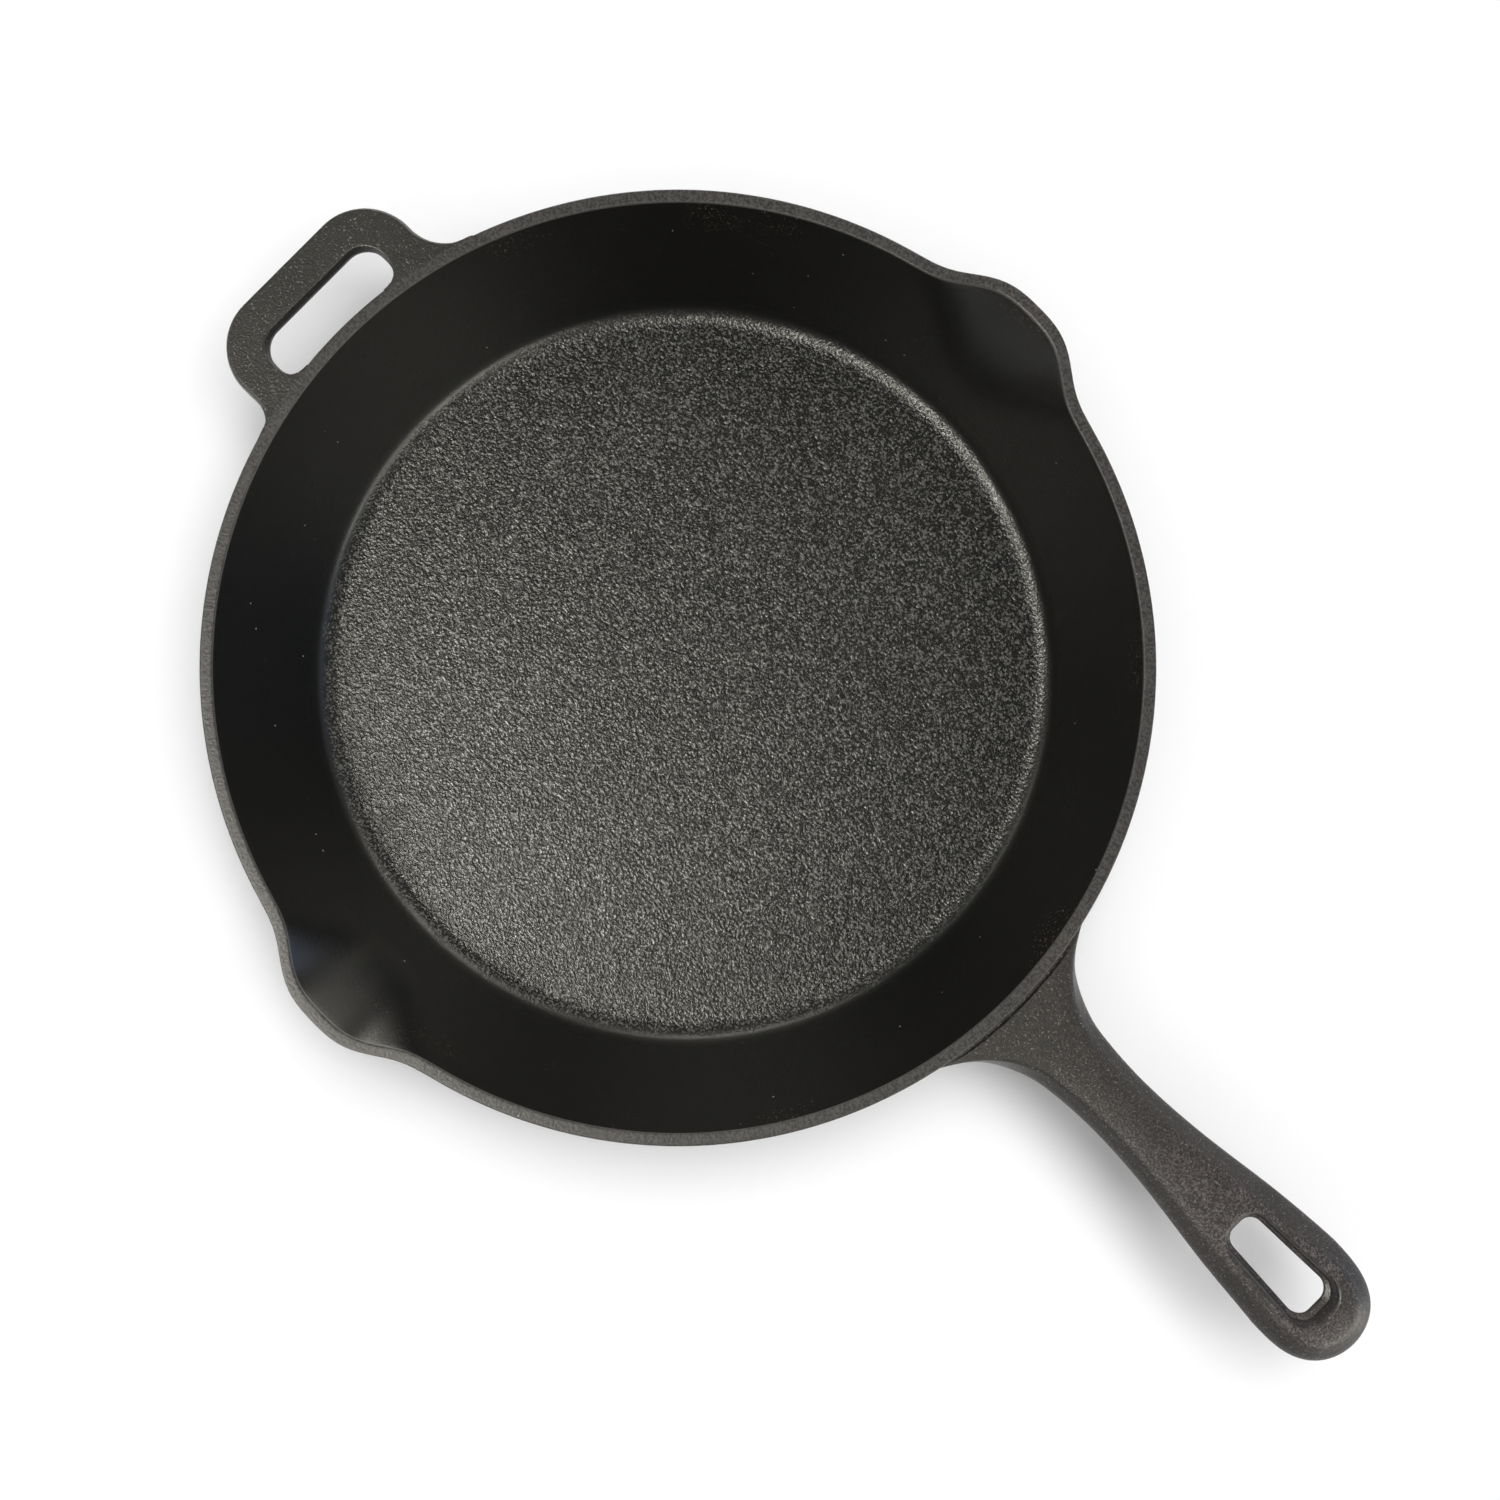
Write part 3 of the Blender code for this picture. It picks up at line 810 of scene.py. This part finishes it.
def facing(nodes, low, high):
    """Nought where the surface's upward slope is below low, and one where it is above high."""
    normal = nodes.tree.nodes.new("ShaderNodeTexCoord").outputs["Normal"]
    split = nodes.node("ShaderNodeSeparateXYZ", {0: normal})
    return nodes.ramp(split.outputs[2], low, high)


def iron_grain(nodes, where, size, span=GRAIN_RANGE):
    """Sand-cast grain of about this size: nought in the hollows and one on the grains."""
    noise = nodes.noise(where, 1.0 / size, *GRAIN_NOISE)
    return noise, nodes.ramp(noise, *span)


def pan_iron():
    """The pan: pebbled floor, satin wall, ground rim and sand-cast outside in one material, with
    a painted highlight along the rim's inner edge.
    """
    n = Nodes("pan_iron")
    where, x, y, z = place(n)
    radius = n.math("SQRT", n.math("ADD", n.math("MULTIPLY", x, x), n.math("MULTIPLY", y, y)))
    angle = n.math("ARCTAN2", y, x)
    on_rim = n.ramp(z, *(PAN_HEIGHT - down for down in RIM_RANGE))
    inside = facing(n, *FACING_UP)
    outside = n.math("SUBTRACT", 1.0, n.math("MAXIMUM", inside, on_rim), clamp=True)
    wander = n.noise(where, *PEBBLES_NOISE)
    shifted = n.math("SUBTRACT", radius, PEBBLES_SHIFT)
    edge = n.math("MULTIPLY_ADD", wander, PEBBLES_WANDER, shifted)
    pebbled = n.math("MULTIPLY", n.ramp(edge, *PEBBLES_END, 1.0, 0.0), inside)
    on_wall = n.math("MULTIPLY", n.ramp(z, *WALL_RANGE), inside)

    height, grain = iron_grain(n, where, PEBBLE_SIZE, PEBBLE_RANGE)
    grain = n.math("MULTIPLY", grain, n.ramp(radius, *PEBBLE_FADE, 1.0, PEBBLE_FADED))
    floor_bump = n.bump(height, PEBBLE_HEIGHT, pebbled)
    along = n.math("MULTIPLY", angle, RIM_RADIUS)
    across = n.math("MULTIPLY", radius, STREAK_ACROSS)
    streak_at = n.node("ShaderNodeCombineXYZ", {0: along, 1: across, 2: z}).outputs[0]
    streak = n.noise(streak_at, *STREAK_NOISE)
    rim_sand, _ = iron_grain(n, where, RIM_SAND_SIZE)
    rim_sand = n.math("MULTIPLY", rim_sand, RIM_SAND_SHARE)
    streak = n.math("MULTIPLY_ADD", streak, STREAK_SHARE, rim_sand)
    rim_bump = n.bump(streak, RIM_RELIEF, on_rim, floor_bump)
    sand, outer_grain = iron_grain(n, where, OUTER_GRAIN_SIZE)
    sand_bump = n.bump(sand, OUTER_RELIEF, outside, rim_bump)
    normal = n.bump(n.noise(where, *FINE_NOISE), FINE_RELIEF, 1.0, sand_bump)

    speck = n.ramp(n.cell_distance(where, SPECK_SCALE), *SPECK_RANGE, 1.0, 0.0)
    speck = n.math("MULTIPLY", speck, n.math("MAXIMUM", on_wall, on_rim))
    patch = n.ramp(n.noise(where, *PATCH_NOISE), *PATCH_RANGE)
    residue = n.ramp(n.noise(where, *RESIDUE_NOISE), *RESIDUE_RANGE)
    residue = n.math("MULTIPLY", residue, patch)
    residue = n.math("MULTIPLY", residue, n.ramp(z, *RESIDUE_HEIGHT))
    residue = n.math("MULTIPLY", residue, on_wall)
    # Painted highlight: a lighter band on the rim's rounded inner edge, where a reflection falls
    edge_highlight_paint = n.ramp(z, *(PAN_HEIGHT - down for down in PAINTED_EDGE_HIGHLIGHT_RANGE))
    edge_highlight_paint = n.math("MULTIPLY", edge_highlight_paint, inside)
    edge_highlight_paint = n.math("MULTIPLY", edge_highlight_paint, n.math("SUBTRACT", 1.0, on_rim))

    colour = n.mix(pebbled, IRON_WALL, n.mix(grain, FLOOR_HOLLOW, FLOOR_GRAIN))
    rim_colour = n.mix(n.ramp(streak, *RIM_GRAIN_RANGE), RIM_HOLLOW, RIM_GRAIN)
    colour = n.mix(on_rim, colour, rim_colour)
    colour = n.mix(edge_highlight_paint, colour, PAINTED_EDGE_HIGHLIGHT)
    colour = n.mix(outside, colour, n.mix(outer_grain, HANDLE_HOLLOW, HELPER_GRAIN))
    colour = n.mix(n.math("MULTIPLY", residue, RESIDUE_STRENGTH), colour, IRON_RESIDUE)
    colour = n.mix(speck, colour, IRON_SPECK)
    mottle = n.noise(where, *PAN_MOTTLE_NOISE)
    rough = n.math("MULTIPLY_ADD", mottle, PAN_MOTTLE, PAN_ROUGH)
    rough = n.math("MULTIPLY_ADD", n.math("MAXIMUM", on_rim, outside), CAST_ROUGH, rough)
    rough = n.math("MULTIPLY_ADD", on_wall, WALL_POLISH, rough)
    metal = n.math("MULTIPLY", n.math("MULTIPLY", grain, pebbled), BARE_GRAIN)
    n.link(metal, n.shader.inputs["Metallic"])
    return n.finish(colour, rough, normal)


def handle_iron(name, grain_colour, far_colour):
    """Sand-cast iron whose grain changes colour from the pan out to the handle's end, with
    painted light on its upward faces and painted shade on its shoulders.
    """
    n = Nodes(name)
    where, x, _, _ = place(n)
    height, grain = iron_grain(n, where, HANDLE_GRAIN_SIZE)
    fine = n.noise(where, *HANDLE_FINE_NOISE)
    height = n.math("MULTIPLY_ADD", fine, HANDLE_FINE_SHARE, height)
    normal = n.bump(height, HANDLE_RELIEF)
    mottle = n.noise(where, *HANDLE_MOTTLE_NOISE)
    rough = n.math("MULTIPLY_ADD", mottle, HANDLE_MOTTLE, HANDLE_ROUGH)
    far = n.ramp(x, *FAR_TONE_RANGE)
    tone = n.math("MULTIPLY", far, n.ramp(mottle, *TONE_PATCH_RANGE))
    # Painted light and shade: upward faces lighter, shoulders and sides darker
    lit_face_paint = facing(n, *PAINTED_LIT_FACE_RANGE)
    lit_face_paint = n.math("MULTIPLY_ADD", lit_face_paint, 1.0 - PAINTED_SHOULDER_SHADE, PAINTED_SHOULDER_SHADE)
    grain = n.math("MULTIPLY", grain, lit_face_paint)
    colour = n.mix(grain, HANDLE_HOLLOW, n.mix(tone, grain_colour, far_colour))
    speck = n.ramp(n.noise(where, *HANDLE_SPECK_NOISE), *HANDLE_SPECK_RANGE)
    speck = n.math("MULTIPLY", speck, HANDLE_SPECK_STRENGTH)
    colour = n.mix(speck, colour, IRON_SPECK)
    return n.finish(colour, rough, normal)


# ================================================================ studio
# Strength of the world low down and overhead, and the range of upward slope between the two
WORLD_HORIZON = 0.90
WORLD_ZENITH = 0.15
WORLD_RANGE = (0.12, 0.20)
# What the camera sees behind the floor's far edge
BACKDROP = 1.0
WHITE = (1.0, 1.0, 1.0)
WARM = (1.0, 0.987, 0.93)
BLUE = (0.35, 0.55, 1.0)

PAPER = (0.90, 0.90, 0.90, 1.0)
PAPER_ROUGH = 0.9
FLOOR_HALF_SIZE = 40.0
FLOOR_DROP = 0.05 * MM

SOFTBOX_DISTANCE = 1.8
FAR_DISTANCE = 3.0
# Name, azimuth, tilt, spread in degrees and power
FAR_LIGHTS = (
    ("left_key", 118.0, 20.0, 28.0, 1.10),
    ("right_key", 42.0, 20.0, 28.0, 1.10),
    ("ceiling_bounce", 0.0, 0.0, 77.0, 1.06),
)
# Name, azimuth, tilt, size, power and colour
SOFTBOXES = (
    ("overhead_softbox", -104.0, 34.0, 0.78, 38.0, WARM),
    ("right_window", -8.0, 59.0, 0.80, 12.0, WARM),
    ("low_right", 16.0, 78.0, 0.72, 9.0, WARM),
    ("side_window", 40.0, 77.0, 1.20, 3.6, BLUE),
    ("back_fill", 95.0, 58.0, 1.10, 11.0, WARM),
    ("low_back", 145.0, 80.0, 1.20, 17.0, WARM),
    ("low_left", -162.0, 80.0, 1.00, 6.5, WARM),
)

CAMERA_AT = (0.04263, 0.00554)
CAMERA_ABOVE_RIM = 0.600
CAMERA_TURN = math.radians(45.0)
CAMERA_SENSOR = 36.0
CAMERA_LENS = 45.1
CAMERA_SHIFT = -0.0230
CAMERA_CLIP = (0.01, 50.0)


def direction(azimuth, tilt):
    """Unit vector this far round from +X and this far down from straight up, in degrees."""
    a, t = math.radians(azimuth), math.radians(tilt)
    return np.array([math.cos(a) * math.sin(t), math.sin(a) * math.sin(t), math.cos(t)])


def add_light(name, kind, azimuth, tilt, distance, power, colour, reflected):
    """A light that points at the skillet, and is either reflected in it or only lights it."""
    data = bpy.data.lights.new(name, kind)
    data.energy = power
    data.color = colour
    obj = bpy.data.objects.new(name, data)
    obj.location = Vector(direction(azimuth, tilt) * distance)
    obj.rotation_euler = obj.location.to_track_quat("Z", "Y").to_euler()
    obj.visible_camera = False
    obj.visible_diffuse = not reflected
    obj.visible_glossy = reflected
    bpy.context.scene.collection.objects.link(obj)
    return data


def softbox(name, azimuth, tilt, size, power, colour):
    """A round soft light that is seen mirrored in the iron."""
    data = add_light(name, "AREA", azimuth, tilt, SOFTBOX_DISTANCE, power, colour, True)
    data.shape = "DISK"
    data.size = size


def far_light(name, azimuth, tilt, spread, power):
    """A wide far light that lights the whole floor evenly, spread in degrees across."""
    data = add_light(name, "SUN", azimuth, tilt, FAR_DISTANCE, power, WHITE, False)
    data.angle = math.radians(spread)


def make_world():
    """A world that is pale low down and darker overhead, behind a plain backdrop."""
    world = bpy.data.worlds.new("studio")
    world.use_nodes = True
    tree = world.node_tree
    background = tree.nodes["Background"]
    where = tree.nodes.new("ShaderNodeTexCoord")
    split = tree.nodes.new("ShaderNodeSeparateXYZ")
    tree.links.new(where.outputs["Generated"], split.inputs[0])
    height = tree.nodes.new("ShaderNodeMapRange")
    height.interpolation_type = "SMOOTHSTEP"
    for socket, value in zip(height.inputs[1:5], (*WORLD_RANGE, WORLD_HORIZON, WORLD_ZENITH)):
        socket.default_value = value
    tree.links.new(split.outputs[2], height.inputs[0])
    seen = tree.nodes.new("ShaderNodeLightPath")
    backdrop = tree.nodes.new("ShaderNodeMix")
    backdrop.inputs[3].default_value = BACKDROP
    tree.links.new(seen.outputs["Is Camera Ray"], backdrop.inputs[0])
    tree.links.new(height.outputs[0], backdrop.inputs[2])
    tree.links.new(backdrop.outputs[0], background.inputs[1])
    background.inputs[0].default_value = (*WHITE, 1.0)
    bpy.context.scene.world = world


def make_floor():
    """A wide sheet of pale paper."""
    size = FLOOR_HALF_SIZE
    corners = [(-size, -size, 0.0), (size, -size, 0.0), (size, size, 0.0), (-size, size, 0.0)]
    mesh = bpy.data.meshes.new("studio_floor")
    mesh.from_pydata(corners, [], [(0, 1, 2, 3)])
    floor = bpy.data.objects.new("studio_floor", mesh)
    floor.location.z = -FLOOR_DROP
    bpy.context.scene.collection.objects.link(floor)
    paper = bpy.data.materials.new("studio_paper")
    paper.use_nodes = True
    shader = paper.node_tree.nodes["Principled BSDF"]
    shader.inputs["Base Color"].default_value = PAPER
    shader.inputs["Roughness"].default_value = PAPER_ROUGH
    shader.inputs["Specular IOR Level"].default_value = 0.0
    mesh.materials.append(paper)


def make_camera():
    """A camera that looks straight down, a little to one side of the pan's middle."""
    data = bpy.data.cameras.new("camera")
    data.sensor_width = CAMERA_SENSOR
    data.lens = CAMERA_LENS
    data.shift_x = CAMERA_SHIFT
    data.clip_start, data.clip_end = CAMERA_CLIP
    camera = bpy.data.objects.new("camera", data)
    camera.location = (*CAMERA_AT, PAN_HEIGHT + CAMERA_ABOVE_RIM)
    camera.rotation_euler = (0.0, 0.0, CAMERA_TURN)
    bpy.context.scene.collection.objects.link(camera)
    bpy.context.scene.camera = camera


# ================================================================ the scene
def main():
    long_handle_iron = handle_iron("long_handle_iron", HANDLE_GRAIN, HANDLE_FAR_GRAIN)
    helper_iron = handle_iron("helper_iron", HELPER_GRAIN, HELPER_GRAIN)
    for piece, node, slot, material in (
        (make_pan(), "pan_body", "pan_iron", pan_iron()),
        (make_long_handle(), "long_handle", "handle_iron", long_handle_iron),
        (make_helper(), "helper_handle", "handle_iron", helper_iron),
    ):
        piece.data.materials.append(material)
        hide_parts(node)
    make_world()
    make_floor()
    for light in FAR_LIGHTS:
        far_light(*light)
    for light in SOFTBOXES:
        softbox(*light)
    make_camera()
    bpy.context.scene.view_settings.view_transform = "Standard"
    # Keeps the iron's fine grain, which a filtered guide would smooth away
    bpy.context.scene.cycles.denoising_prefilter = "NONE"


main()
